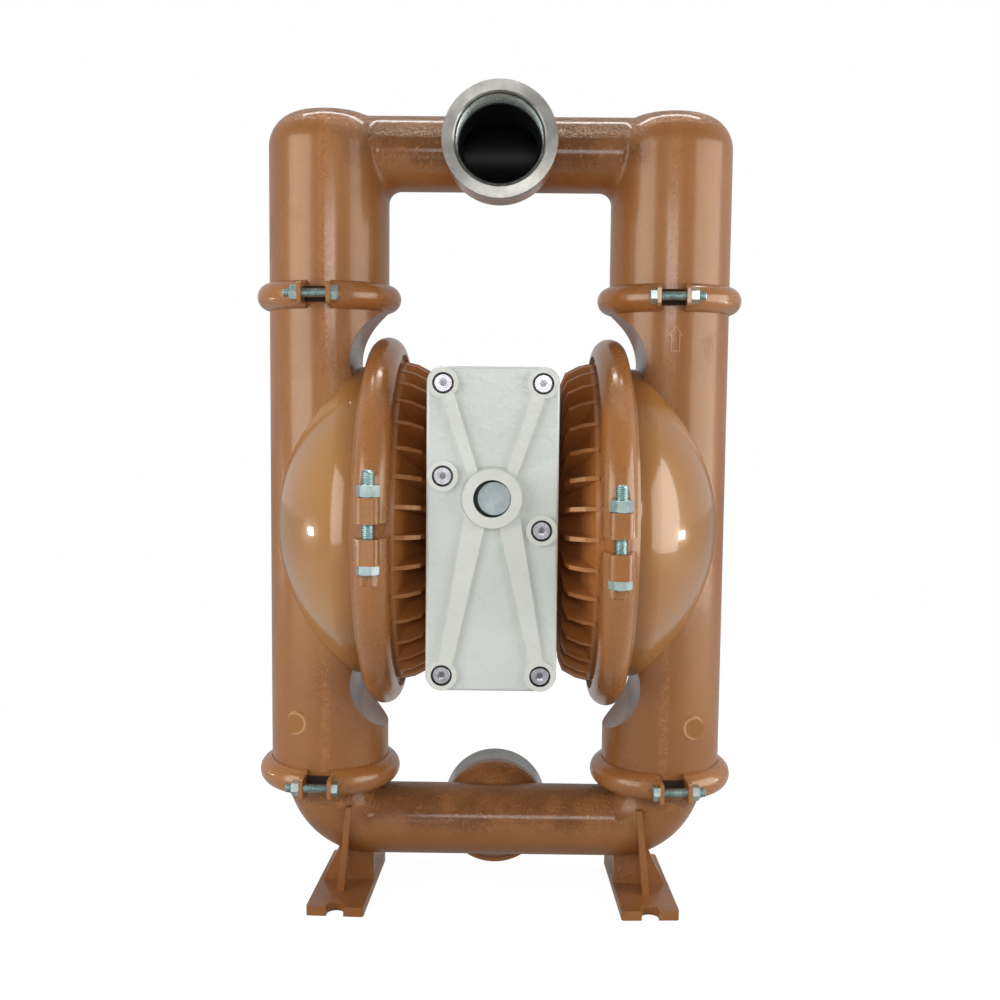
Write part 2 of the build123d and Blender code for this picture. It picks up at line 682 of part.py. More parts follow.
def outer_piston():
    body = turned_x(
        [
            (117.6, 0),
            (117.6, PISTON_R - 2),
            (121, PISTON_R),
            (125, PISTON_R - 3),
            (127, 60),
            (134, 34),
            (PISTON_TAIL_X, 20),
            (PISTON_TAIL_X, 0),
        ]
    )
    return body - rod_x(STUD_R + 0.1, 117, PISTON_TAIL_X - 7.9)


def diaphragm():
    """Moulded rubber disc: rim bead, one rolled convolution and a clamped middle."""
    face = Polyline(
        (112.5, STUD_R + 0.3),
        (112.5, 103),
        (109, 112),
        (103.5, 122),
        (101.5, 134),
        (104, 147),
        (109.5, 158),
        (112.1, 164),
        (112.1, BIG_FLANGE_R - 2),
        (117.9, BIG_FLANGE_R - 2),
        (117.9, 162),
        (113.5, 156),
        (108, 145),
        (105.8, 134),
        (107.6, 124),
        (113, 114),
        (117.5, 105),
        (117.5, STUD_R + 0.3),
        close=True,
    )
    return Pos(0, 0, SHAFT_Z) * revolve(Plane.XZ * make_face(face), Axis.X)


def shaft_bushing():
    return rod_x(SHAFT_R + 5.9, -40, 40) - rod_x(SHAFT_R + RUNNING_FIT, -41, 41)


def shaft_seal():
    return rod_x(SHAFT_R + 5.9, 40.2, 50) - rod_x(SHAFT_R + RUNNING_FIT, 40, 51)


def pilot_sleeve():
    body = rod_x(PILOT_R + 3.9, -BLOCK_X + 0.5, BLOCK_X - 0.5, 0, PILOT_Z)
    body -= rod_x(PILOT_R + RUNNING_FIT, -BLOCK_X, BLOCK_X, 0, PILOT_Z)
    for x in (-24, 0, 24):
        groove = rod_x(PILOT_R + 5, x - 3, x + 3, 0, PILOT_Z)
        body -= groove - rod_x(PILOT_R + 2.6, x - 3, x + 3, 0, PILOT_Z)
    return body


def pilot_spool():
    half = PISTON_GAP_X - STROKE + PILOT_TRAVEL - 0.5
    body = rod_x(PILOT_R, -half, half, 0, PILOT_Z)
    for x in (-18, 18):
        body -= rod_x(PILOT_R + 1, x - 6, x + 6, 0, PILOT_Z) - rod_x(PILOT_R - 2, x - 6, x + 6, 0, PILOT_Z)
    ends = body.edges().group_by(Axis.X)
    return chamfer(ends[0] + ends[-1], 1)


def hub_gasket():
    ring = rod_x(HUB_R - 1, BLOCK_X + 0.05, HUB_X - 0.05) - rod_x(SHAFT_R + 8, BLOCK_X, HUB_X)
    ring -= hub_pattern(rod_x(5.3, BLOCK_X, HUB_X))
    return ring - rod_x(PILOT_R + 2, BLOCK_X, HUB_X, 0, PILOT_Z)


def hub_screws():
    screw = Pos(DISH_X - 9.95, 0, SHAFT_Z) * Rot(0, 90, 0) * cap_screw(4.2, 8.0, 8.0, 28, 4.2)
    angles = [radians(360 / HUB_SCREW_COUNT * (index + 0.5)) for index in range(HUB_SCREW_COUNT)]
    return [Pos(0, HUB_SCREW_PITCH_R * sin(a), HUB_SCREW_PITCH_R * cos(a)) * screw for a in angles]


# ---------------------------------------------------------------- ball valves
def valve_seat():
    """Seat ring flush with the joint face on z = 0, lapped to the ball."""
    ring = turned_z(
        [
            (SEAT_BORE_R, -SEAT_THICK + 0.05),
            (SEAT_R - FIT, -SEAT_THICK + 0.05),
            (SEAT_R - FIT, -0.05),
            (SEAT_BORE_R, -0.05),
        ]
    )
    groove = turned_z([(40, -4.7), (45, -4.7), (45, 1), (40, 1)])
    return ring - Pos(0, 0, BALL_RISE) * Sphere(BALL_R + 0.15) - groove


def seat_oring():
    return Pos(0, 0, -2.4) * Torus(42.5, 2.25)


# ---------------------------------------------------------------- clamps and bolts
def hex_head(flats, height):
    return extrude(RegularPolygon(flats / 2, 6, major_radius=False), amount=height)


def hex_bolt(radius, flats, head, length):
    """Hex bolt, its head below z = 0 and its shank above."""
    body = Pos(0, 0, -head) * hex_head(flats, head) + rod_z(radius, -0.5, length)
    return chamfer(body.edges().sort_by(Axis.Z)[-1], 0.8)


def hex_nut(radius, flats, height):
    return hex_head(flats, height) - rod_z(radius + 0.1, -1, height + 1)


def clamp_section(core_r, section_r, rim_r, rim_half, root_half, root_r, inner_r):
    """Half-round band section with the V groove that grips two flanges, as (radius, z)."""
    outer = Pos(core_r, 0) * Circle(section_r)
    outer &= Pos(inner_r + 60, 0) * Rectangle(120, 4 * section_r)
    gap = BAND_CLEARANCE
    groove = Polyline(
        (inner_r - 5, root_half + gap),
        (root_r, root_half + gap),
        (rim_r + gap, rim_half + gap),
        (rim_r + gap, -rim_half - gap),
        (root_r, -root_half - gap),
        (inner_r - 5, -root_half - gap),
        close=True,
    )
    return outer - make_face(groove)


def small_clamp_half(side):
    """One half of a joint clamp about Z, with a thin ear at each end."""
    section = clamp_section(
        BAND_CORE_R, BAND_SECTION_R, FLANGE_R, FLANGE_RIM, FLANGE_ROOT, COLUMN_R, COLUMN_R + 0.4
    )
    band = revolve(Plane.XZ * section, Axis.Z)
    band &= block(side * BAND_GAP / 2, side * 120, -120, 120, -30, 30)
    x0 = side * BAND_GAP / 2
    x1 = side * (BAND_GAP / 2 + SMALL_EAR_THICK)
    for end in (-1, 1):
        ear = block(x0, x1, end * (FLANGE_R - 2.5), end * (SMALL_BOLT_Y + 9), -11, 11)
        ear = fillet(ear.edges().filter_by(Axis.X), 4)
        ear -= rod_z(FLANGE_R + BAND_CLEARANCE, -8, 8)
        ear -= rod_x(SMALL_BOLT_R + 0.4, x0 - 5, x1 + 5, end * SMALL_BOLT_Y, 0)
        relief = rod_x(9.5, side * (BAND_GAP / 2 + SMALL_EAR_THICK), side * 60, end * SMALL_BOLT_Y, 0)
        band = band - relief + ear
    return band


def small_bolts_at(turn_x):
    """Bolt and nut pairs of one joint clamp; the nuts face away from the pump's middle."""
    grip = BAND_GAP / 2 + SMALL_EAR_THICK + 0.05
    bolts = []
    nuts = []
    for end in (-1, 1):
        y = end * SMALL_BOLT_Y
        bolt = hex_bolt(SMALL_BOLT_R, 14.3, 6.5, 2 * grip + 15)
        nut = hex_nut(SMALL_BOLT_R, 14.3, 8.3)
        bolts.append(Pos(-turn_x * grip, y, 0) * Rot(0, turn_x * 90, 0) * bolt)
        nuts.append(Pos(turn_x * grip, y, 0) * Rot(0, turn_x * 90, 0) * nut)
    return bolts, nuts


def large_clamp_half():
    """Upper half of a diaphragm clamp about X, on x = 0, with solid ears front and rear."""
    section = clamp_section(
        BIG_CORE_R,
        BIG_SECTION_R,
        BIG_FLANGE_R,
        BIG_RIM + BEAD_THICK / 2,
        BIG_ROOT + BEAD_THICK / 2,
        BIG_ROOT_R,
        BIG_CORE_R - 1,
    )
    band = revolve(Plane.XZ * section, Axis.Z)
    band = Rot(0, 90, 0) * band
    band &= block(-30, 30, -230, 230, BIG_GAP / 2, 230)
    z0 = BIG_GAP / 2
    z1 = BIG_GAP / 2 + BIG_EAR_HEIGHT
    for end in (-1, 1):
        ear = block(-10.5, 10.5, end * 178, end * BIG_EAR_Y, z0, z1)
        ear = fillet(ear.edges().filter_by(Axis.Z).group_by(Axis.Y)[0 if end < 0 else -1], 5)
        ear -= rod_x(BIG_FLANGE_R + BAND_CLEARANCE, -20, 20, 0, 0)
        ear -= rod_z(BIG_BOLT_R + 0.4, z0 - 5, z1 + 5, 0, end * BIG_BOLT_Y)
        spot = rod_z(13, z1, z1 + 20, 0, end * BIG_BOLT_Y)
        hole = rod_z(BIG_BOLT_R + 0.4, z0 - 5, z1 + 5, 0, end * BIG_BOLT_Y)
        band = band - spot - hole + ear
    return band


def large_bolts_at():
    grip = BIG_GAP / 2 + BIG_EAR_HEIGHT + 0.05
    bolts = []
    nuts = []
    for end in (-1, 1):
        y = end * BIG_BOLT_Y
        bolts.append(Pos(0, y, -grip) * hex_bolt(BIG_BOLT_R, 19.0, 8.5, 2 * grip + 25))
        nuts.append(Pos(0, y, grip) * hex_nut(BIG_BOLT_R, 19.0, 11.5))
    return bolts, nuts


nodes = {}
nodes["discharge_manifold"] = discharge_manifold()
nodes["inlet_manifold"] = inlet_manifold()
chamber = liquid_chamber()
nodes["right_liquid_chamber"] = chamber
nodes["left_liquid_chamber"] = mirrored(chamber)
dish = air_chamber()
nodes["right_air_chamber"] = dish
nodes["left_air_chamber"] = mirrored(dish)
nodes["centre_block"] = centre_block()
nodes["exhaust_plate"] = exhaust_plate()
nodes["exhaust_plug"] = exhaust_plug()
nodes["exhaust_plate_gasket"] = exhaust_plate_gasket()
nodes["exhaust_plate_screws"] = Compound(children=exhaust_plate_screws())
nodes["air_valve_body"] = air_valve_body()
nodes["air_valve_gasket"] = air_valve_gasket()
nodes["air_valve_screws"] = Compound(children=air_valve_screws())
end_cap = valve_end_cap()
nodes["air_valve_end_caps"] = Compound(children=[end_cap, mirrored(end_cap)])
cap_ring = ring_x(CAP_R - 1.5, 1.65, 50.2, VALVE_Y)
nodes["end_cap_orings"] = Compound(children=[cap_ring, mirrored(cap_ring)])
clip = retaining_ring()
nodes["end_cap_retaining_rings"] = Compound(children=[clip, mirrored(clip)])
nodes["air_valve_spool"] = air_valve_spool()
nodes["shaft"] = shaft()
nodes["shaft_bushing"] = shaft_bushing()
seal = shaft_seal()
nodes["shaft_seals"] = Compound(children=[seal, mirrored(seal)])
nodes["pilot_sleeve"] = pilot_sleeve()
nodes["pilot_spool"] = pilot_spool()
gasket = hub_gasket()
nodes["air_chamber_gaskets"] = Compound(children=[gasket, mirrored(gasket)])
screws = hub_screws()
nodes["air_chamber_screws"] = Compound(children=screws + [mirrored(screw) for screw in screws])

for name, piece in (
    ("diaphragm", diaphragm()),
    ("inner_piston", inner_piston()),
    ("outer_piston", outer_piston()),
):
    nodes["right_" + name] = piece
    nodes["left_" + name] = mirrored(piece)

for level, joint_z in (("lower", LOWER_JOINT_Z), ("upper", UPPER_JOINT_Z)):
    for hand, side in (("left", -1), ("right", 1)):
        place = Pos(side * COLUMN_X, 0, joint_z)
        nodes[f"{level}_{hand}_valve_seat"] = place * valve_seat()
        nodes[f"{level}_{hand}_seat_oring"] = place * seat_oring()
        nodes[f"{level}_{hand}_valve_ball"] = place * Pos(0, 0, BALL_RISE) * Sphere(BALL_R)

# Each band sits a little turned on its joint, as fitted by hand.
small_turns = {
    ("upper", -1): -2.3,
    ("upper", 1): -3.6,
    ("lower", -1): -2.3,
    ("lower", 1): 4.8,
}
small_bolts = []
small_nuts = []
for (level, side), turn in small_turns.items():
    hand = "left" if side < 0 else "right"
    joint_z = UPPER_JOINT_Z if level == "upper" else LOWER_JOINT_Z
    place = Pos(side * COLUMN_X, 0, joint_z) * Rot(0, 0, turn)
    nodes[f"{level}_{hand}_clamp_outer_half"] = place * small_clamp_half(side)
    nodes[f"{level}_{hand}_clamp_inner_half"] = place * small_clamp_half(-side)
    bolts, nuts = small_bolts_at(side)
    small_bolts += [place * bolt for bolt in bolts]
    small_nuts += [place * nut for nut in nuts]
nodes["small_clamp_bolts"] = Compound(children=small_bolts)
nodes["small_clamp_nuts"] = Compound(children=small_nuts)

large_turns = {-1: -2.6, 1: 0.6}
large_bolts = []
large_nuts = []
for side, turn in large_turns.items():
    hand = "left" if side < 0 else "right"
    place = Pos(side * DIAPHRAGM_X, 0, SHAFT_Z) * Rot(turn, 0, 0)
    clamp_half = large_clamp_half()
    nodes[f"{hand}_large_clamp_upper_half"] = place * clamp_half
    nodes[f"{hand}_large_clamp_lower_half"] = place * mirror(clamp_half, about=Plane.XY)
    bolts, nuts = large_bolts_at()
    large_bolts += [place * bolt for bolt in bolts]
    large_nuts += [place * nut for nut in nuts]
nodes["large_clamp_bolts"] = Compound(children=large_bolts)
nodes["large_clamp_nuts"] = Compound(children=large_nuts)

for name, shape in nodes.items():
    export_step(shape, f"parts/{name}.step")
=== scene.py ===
from math import cos, pi, radians, sin, sqrt

import bpy
from mathutils import Matrix, Vector
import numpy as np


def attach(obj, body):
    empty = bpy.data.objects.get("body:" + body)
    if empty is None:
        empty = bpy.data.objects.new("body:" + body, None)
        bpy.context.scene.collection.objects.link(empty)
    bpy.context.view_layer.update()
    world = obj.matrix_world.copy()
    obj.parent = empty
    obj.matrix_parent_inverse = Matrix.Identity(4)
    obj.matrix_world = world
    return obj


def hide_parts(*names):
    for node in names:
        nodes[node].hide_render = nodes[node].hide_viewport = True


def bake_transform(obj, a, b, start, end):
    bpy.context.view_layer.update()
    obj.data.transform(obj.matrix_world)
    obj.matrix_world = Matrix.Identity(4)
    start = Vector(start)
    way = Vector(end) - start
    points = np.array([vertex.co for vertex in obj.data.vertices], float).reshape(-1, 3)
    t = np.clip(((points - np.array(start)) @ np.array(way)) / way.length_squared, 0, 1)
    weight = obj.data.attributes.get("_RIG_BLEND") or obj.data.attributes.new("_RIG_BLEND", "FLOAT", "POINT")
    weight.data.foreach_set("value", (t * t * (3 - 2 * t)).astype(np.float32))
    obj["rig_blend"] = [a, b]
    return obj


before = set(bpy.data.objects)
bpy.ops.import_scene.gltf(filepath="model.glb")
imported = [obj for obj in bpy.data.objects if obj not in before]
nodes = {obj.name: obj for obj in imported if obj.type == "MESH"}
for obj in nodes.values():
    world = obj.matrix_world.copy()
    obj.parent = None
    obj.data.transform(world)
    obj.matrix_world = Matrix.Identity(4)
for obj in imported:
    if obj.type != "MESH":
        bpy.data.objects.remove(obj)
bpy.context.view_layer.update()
scene = bpy.context.scene

# Places and sizes shared with the model, in metres
COLUMN_X = 0.1778
COLUMN_R = 0.0622
SHAFT_Z = 0.4035
OUTLET_Z = 0.7853
INLET_Z = 0.0786
OUTLET_FACE_Y = 0.084
INLET_FACE_Y = 0.070
PORT_R = 0.04445
PIPE_PITCH = 0.003175
UPPER_Z = 0.6359
LOWER_Z = 0.1353
PLATE_X = -0.0028
PLATE_Z = 0.4108
EXHAUST_DZ = 0.0307
PLATE_SCREWS = [
    *[(sx * 0.0463, sz * 0.137) for sx in (-1, 1) for sz in (-1, 1)],
    (-0.0463, 0.0509),
    (0.0463, 0.0007),
]
BOSS_X = 0.2074
BOSS_Y = -0.0581
BOSS_Z = 0.1965
SMALL_GRIP = 0.01655
SMALL_BOLT_Y = 0.080
LARGE_GRIP = 0.03105
LARGE_BOLT_Y = 0.195
LARGE_CLAMP_X = 0.115
FLEX_OUTER = 0.165
FLEX_INNER = 0.105
ARROW_Z = 0.5828


# ---------------------------------------------------------------- node tree helper
class Tree:
    """Short calls for building one material's nodes."""

    def __init__(self, name):
        self.material = bpy.data.materials.new(name)
        self.material.use_nodes = True
        self.nodes = self.material.node_tree.nodes
        self.links = self.material.node_tree.links
        self.nodes.clear()
        self.output = self.nodes.new("ShaderNodeOutputMaterial")
        self.coord = self.nodes.new("ShaderNodeTexCoord").outputs["Object"]
        split = self.nodes.new("ShaderNodeSeparateXYZ")
        self.links.new(self.coord, split.inputs[0])
        self.x, self.y, self.z = split.outputs

    def put(self, socket, value):
        if hasattr(value, "links") or hasattr(value, "is_output"):
            self.links.new(value, socket)
        else:
            socket.default_value = value

    def math(self, operation, a, b=0.0):
        node = self.nodes.new("ShaderNodeMath")
        node.operation = operation
        for socket, value in zip(node.inputs, (a, b)):
            self.put(socket, value)
        return node.outputs[0]

    def ramp(self, value, low, high, to_low=0.0, to_high=1.0):
        """Smooth step of value between two limits."""
        node = self.nodes.new("ShaderNodeMapRange")
        node.interpolation_type = "SMOOTHSTEP"
        for socket, item in zip(node.inputs, (value, low, high, to_low, to_high)):
            self.put(socket, item)
        return node.outputs[0]

    def noise(self, scale, detail=3.0, rough=0.5, coord=None):
        node = self.nodes.new("ShaderNodeTexNoise")
        self.links.new(coord or self.coord, node.inputs["Vector"])
        node.inputs["Scale"].default_value = scale
        node.inputs["Detail"].default_value = detail
        node.inputs["Roughness"].default_value = rough
        return node.outputs["Fac"]

    def stretched(self, x, y, z):
        node = self.nodes.new("ShaderNodeMapping")
        self.links.new(self.coord, node.inputs["Vector"])
        node.inputs["Scale"].default_value = (x, y, z)
        return node.outputs[0]

    def mix(self, factor, a, b):
        node = self.nodes.new("ShaderNodeMix")
        node.data_type = "RGBA"
        self.put(node.inputs["Factor"], factor)
        self.put(node.inputs[6], a if hasattr(a, "links") else (*a, 1.0))
        self.put(node.inputs[7], b if hasattr(b, "links") else (*b, 1.0))
        return node.outputs[2]

    def bump(self, height, distance, strength=1.0, normal=None):
        node = self.nodes.new("ShaderNodeBump")
        node.inputs["Strength"].default_value = strength
        node.inputs["Distance"].default_value = distance
        self.put(node.inputs["Height"], height)
        if normal is not None:
            self.put(node.inputs["Normal"], normal)
        return node.outputs[0]

    def surface(
        self, color, rough, metallic=0.0, normal=None,
        coat=0.0, coat_rough=0.05, specular=0.5, tint=None,
    ):
        node = self.nodes.new("ShaderNodeBsdfPrincipled")
        self.put(node.inputs["Base Color"], color if hasattr(color, "links") else (*color, 1.0))
        self.put(node.inputs["Roughness"], rough)
        node.inputs["Metallic"].default_value = metallic
        node.inputs["Coat Weight"].default_value = coat
        node.inputs["Coat Roughness"].default_value = coat_rough
        node.inputs["Specular IOR Level"].default_value = specular
        if tint:
            node.inputs["Specular Tint"].default_value = (*tint, 1.0)
        if normal is not None:
            self.put(node.inputs["Normal"], normal)
        return node.outputs[0]

    def blend(self, factor, a, b):
        node = self.nodes.new("ShaderNodeMixShader")
        self.put(node.inputs[0], factor)
        self.put(node.inputs[1], a)
        self.put(node.inputs[2], b)
        return node.outputs[0]

    def radius_about(self, a, b, centre_a, centre_b):
        """Distance from a line, given the two coordinates across it."""
        da = self.math("SUBTRACT", a, centre_a)
        db = self.math("SUBTRACT", b, centre_b)
        squares = [self.math("MULTIPLY", d, d) for d in (da, db)]
        return self.math("SQRT", self.math("ADD", *squares))

    def both(self, *masks):
        """Where every one of the masks holds."""
        value = masks[0]
        for mask in masks[1:]:
            value = self.math("MULTIPLY", value, mask)
        return value

    def done(self, shader):
        self.links.new(shader, self.output.inputs["Surface"])
        return self.material


# ---------------------------------------------------------------- materials
LEG_BROWN = ((0.320, 0.122, 0.034), (0.262, 0.092, 0.024))
DOME_BROWN = ((0.42, 0.195, 0.050), (0.365, 0.155, 0.038))
RIB_BROWN = ((0.44, 0.165, 0.044), (0.33, 0.115, 0.028))
WARM_GLOSS = (0.90, 0.76, 0.52)
# Near-black painted shade for the flange rims seen between clamp ends
GAP_PAINTED_SHADE = (0.020, 0.010, 0.006)
THROAT_BLACK = (0.008, 0.008, 0.009)


def enamel(t, tones, cast, rough_zone=None, seam_and_highlight=None, gloss=(0.30, 0.42)):
    """Glossy sprayed enamel over a sand casting: colour, with a painted highlight along the parting line,
    roughness and bumps.
    """
    tone = t.ramp(t.noise(8.0, 2.0), 0.3, 0.7)
    color = t.mix(tone, tones[1], tones[0])
    speck = t.ramp(t.noise(230.0, 3.0, 0.6), 0.52, 0.72)
    color = t.mix(t.math("MULTIPLY", speck, 0.22), color, tuple(c * 0.55 for c in tones[1]))
    peel = t.noise(430.0, 3.0, 0.55)
    wave = t.noise(70.0, 2.0, 0.5)
    height = t.math("ADD", t.math("MULTIPLY", peel, 0.35), t.math("MULTIPLY", wave, 0.9))
    grain = t.ramp(t.noise(300.0, 4.0, 0.7), 0.35, 0.75)
    zone = t.ramp(t.noise(12.0, 2.0), 0.5, 0.72)
    zone = t.math("MULTIPLY", zone, cast)
    if rough_zone is not None:
        zone = t.math("MAXIMUM", zone, rough_zone)
    if seam_and_highlight is not None:
        zone = t.math("MAXIMUM", zone, t.math("MULTIPLY", seam_and_highlight, 0.42))
        # Painted highlight: the parting line is lightened in colour as if it caught the light.
        color = t.mix(t.math("MULTIPLY", seam_and_highlight, 0.45), color, tuple(c * 1.9 for c in tones[0]))
    normal = t.bump(height, 0.0007, 0.5)
    normal = t.bump(t.math("MULTIPLY", grain, zone), 0.0034, 0.9, normal)
    return color, t.ramp(peel, 0.3, 0.7, gloss[0], gloss[1]), normal


def seam_and_highlight_mask(t, height=None):
    """Where the mould halves met: a thin, broken ridge, down each column or at a height; it also marks where
    a highlight is painted.
    """
    wobble = t.math("MULTIPLY", t.math("SUBTRACT", t.noise(26.0, 3.0), 0.5), 0.0022)
    if height is None:
        offset = t.math("SUBTRACT", t.math("ABSOLUTE", t.x), COLUMN_X - 0.004)
    else:
        offset = t.math("SUBTRACT", t.z, height)
    distance = t.math("ABSOLUTE", t.math("ADD", offset, wobble))
    ridge = t.ramp(distance, 0.0015, 0.0070, 1.0, 0.0)
    front = t.ramp(t.math("ABSOLUTE", t.y), 0.03, 0.045)
    broken = t.ramp(t.noise(130.0, 4.0, 0.7), 0.40, 0.62, 0.1, 1.0)
    along = t.ramp(t.noise(9.0, 2.0), 0.35, 0.6, 0.35, 1.0)
    return t.both(ridge, front, broken, along)


def brown_enamel(name, tones, cast, coat=0.4, coat_rough=0.16, gloss=(0.24, 0.34)):
    t = Tree(name)
    color, rough, normal = enamel(t, tones, cast, gloss=gloss)
    return t.done(t.surface(color, rough, 0.0, normal, coat, coat_rough, 0.7, WARM_GLOSS))


def chamber_enamel(name):
    """Column brown with painted highlights on the parting line and the round bosses, tan and shinier on the
    dome, and painted shade in the joint gaps.
    """
    t = Tree(name)
    reach = t.radius_about(t.y, t.z, 0.0, SHAFT_Z)
    bulge = t.both(
        t.ramp(reach, 0.150, 0.172, 1.0, 0.0),
        t.ramp(t.math("ABSOLUTE", t.y), 0.058, 0.070),
    )
    line = t.math("MULTIPLY", seam_and_highlight_mask(t), t.math("SUBTRACT", 1.0, bulge))
    color, rough, normal = enamel(t, LEG_BROWN, 0.2, None, line)
    tan = t.mix(t.ramp(t.noise(8.0, 2.0), 0.3, 0.7), DOME_BROWN[1], DOME_BROWN[0])
    color = t.mix(bulge, color, tan)
    # Painted highlight: the round boss is lightened and a ring near its rim painted much lighter, as if it
    # caught the light.
    beside = t.radius_about(t.math("ABSOLUTE", t.x), t.y, BOSS_X, BOSS_Y)
    boss = t.radius_about(beside, t.z, 0.0, BOSS_Z)
    disc = t.ramp(boss, 0.0120, 0.0128, 1.0, 0.0)
    boss_rim_highlight = t.both(disc, t.ramp(boss, 0.0094, 0.0108))
    color = t.mix(t.math("MULTIPLY", disc, 0.30), color, DOME_BROWN[0])
    color = t.mix(t.math("MULTIPLY", boss_rim_highlight, 0.70), color, (0.60, 0.33, 0.15))
    paint = t.surface(color, rough, 0.0, normal, 0.45, 0.14, 0.7, WARM_GLOSS)
    ripple = t.bump(t.noise(90.0, 2.0), 0.0005, 0.4)
    polished = t.surface(color, 0.22, 0.0, ripple, 0.85, 0.04, 0.6, WARM_GLOSS)
    paint = t.blend(bulge, paint, polished)
    # Painted shade: the flange rims between clamp ends turn near-black.
    shadow = t.surface(GAP_PAINTED_SHADE, 0.8, 0.0, normal)
    return t.done(t.blend(joint_gap_painted_shade(t), paint, shadow))


def joint_gap_painted_shade(t):
    """Flange rims that show only between the ends of a clamp, where near-black painted shade goes."""
    across = t.radius_about(t.math("ABSOLUTE", t.x), t.y, COLUMN_X, 0.0)
    levels = []
    for z in (UPPER_Z, LOWER_Z):
        away = t.math("ABSOLUTE", t.math("SUBTRACT", t.z, z))
        levels.append(t.ramp(away, 0.010, 0.012, 1.0, 0.0))
    near = t.math("MAXIMUM", *levels)
    inner = t.ramp(across, COLUMN_R + 0.0006, COLUMN_R + 0.0016)
    outer = t.ramp(across, COLUMN_R + 0.012, COLUMN_R + 0.014, 1.0, 0.0)
    return t.both(inner, outer, near)


def turned_metal(t, x, z, light, dark, rough=0.33):
    """Face turned in a lathe: fine rings and highlights stretched along the radius."""
    dx = t.math("SUBTRACT", t.x, x)
    dz = t.math("SUBTRACT", t.z, z)
    radius = t.radius_about(t.x, t.z, x, z)
    radial = t.nodes.new("ShaderNodeCombineXYZ")
    t.put(radial.inputs[0], dx)
    t.put(radial.inputs[2], dz)
    rings = t.math("SINE", t.math("MULTIPLY", radius, 7000.0))
    scratch = t.noise(300.0, 4.0, 0.7)
    height = t.math("ADD", t.math("MULTIPLY", rings, 0.35), t.math("MULTIPLY", scratch, 0.12))
    color = t.mix(t.ramp(t.noise(60.0, 3.0), 0.35, 0.65), light, dark)
    node = t.nodes.new("ShaderNodeBsdfPrincipled")
    t.put(node.inputs["Base Color"], color)
    t.put(node.inputs["Roughness"], t.ramp(scratch, 0.3, 0.7, rough - 0.015, rough + 0.02))
    node.inputs["Metallic"].default_value = 1.0
    node.inputs["Anisotropic"].default_value = 0.88
    t.put(node.inputs["Tangent"], radial.outputs[0])
    t.put(node.inputs["Normal"], t.bump(height, 0.00006, 0.25))
    return node.outputs[0], radius


def manifold_enamel(name, port_z, face_y, side, bare_from, line_z, rough_z, narrow):
    """Enamel casting whose port rim is bare turned metal and whose passages are black."""
    t = Tree(name)
    low = t.math("ABSOLUTE", t.math("SUBTRACT", t.z, rough_z))
    pipe = t.both(
        t.ramp(low, 0.012, 0.036, 1.0, 0.0),
        t.ramp(t.math("ABSOLUTE", t.x), COLUMN_X - 0.02, COLUMN_X - 0.06),
        t.ramp(t.y, -0.006, -0.016),
    )
    crown = t.ramp(t.math("SUBTRACT", t.z, port_z), 0.020, 0.034)
    pipe = t.math("MAXIMUM", pipe, t.math("MULTIPLY", crown, 0.8))
    patchy = t.ramp(t.noise(22.0, 2.0), 0.38, 0.6, 0.35, 1.0)
    # The parting line gets bumps and a painted highlight.
    seam_and_highlight = seam_and_highlight_mask(t, line_z)
    color, rough, normal = enamel(t, LEG_BROWN, 0.3, t.math("MULTIPLY", pipe, patchy), seam_and_highlight)
    paint = t.surface(color, rough, 0.0, normal, 0.45, 0.14, 0.7, WARM_GLOSS)
    # Painted shade: the flange rims between clamp ends turn near-black.
    paint = t.blend(joint_gap_painted_shade(t), paint, t.surface(GAP_PAINTED_SHADE, 0.8, 0.0, normal))
    light, dark = (0.375, 0.365, 0.345), (0.295, 0.285, 0.265)
    metal, radius = turned_metal(t, 0.0, port_z, light, dark, 0.30)
    depth = t.math("MULTIPLY", t.y, side)
    rim = t.ramp(radius, 0.040, 0.0405)
    bare = t.both(
        t.ramp(depth, bare_from, bare_from + 0.0008),
        rim,
        t.ramp(radius, 0.060, 0.0605, 1.0, 0.0),
    )
    mouth = t.both(
        t.ramp(depth, face_y - 0.0396, face_y - 0.0392),
        t.ramp(radius, PORT_R + 0.003, PORT_R + 0.0035, 1.0, 0.0),
    )
    widest = t.ramp(depth, 0.004, face_y - 0.039, narrow, PORT_R + 0.0002)
    inside = t.math("LESS_THAN", radius, widest)
    throat = t.both(
        inside,
        t.ramp(depth, 0.0, 0.001),
        t.ramp(depth, face_y - 0.0396, face_y - 0.0392, 1.0, 0.0),
    )
    bore = t.radius_about(t.y, t.z, 0.0, port_z)
    channel = t.both(
        t.ramp(bore, 0.0313, 0.0318, 1.0, 0.0),
        t.ramp(t.math("ABSOLUTE", t.x), COLUMN_X - 0.03, COLUMN_X - 0.032),
    )
    grit = t.bump(t.noise(300.0), 0.0004, 0.4)
    # Passages inside the ports are given a near-black surface.
    black_passage_surface = t.surface(THROAT_BLACK, 0.5, 0.0, grit, 0.0, 0.1, 0.35)
    shader = t.blend(t.math("MAXIMUM", bare, mouth), paint, metal)
    return t.done(t.blend(t.math("MAXIMUM", throat, channel), shader, black_passage_surface))


def screw_spots(t):
    """Distance from the nearest plate screw."""
    nearest = None
    for x, dz in PLATE_SCREWS:
        reach = t.radius_about(t.x, t.z, PLATE_X + x, PLATE_Z + dz)
        nearest = reach if nearest is None else t.math("MINIMUM", nearest, reach)
    return nearest


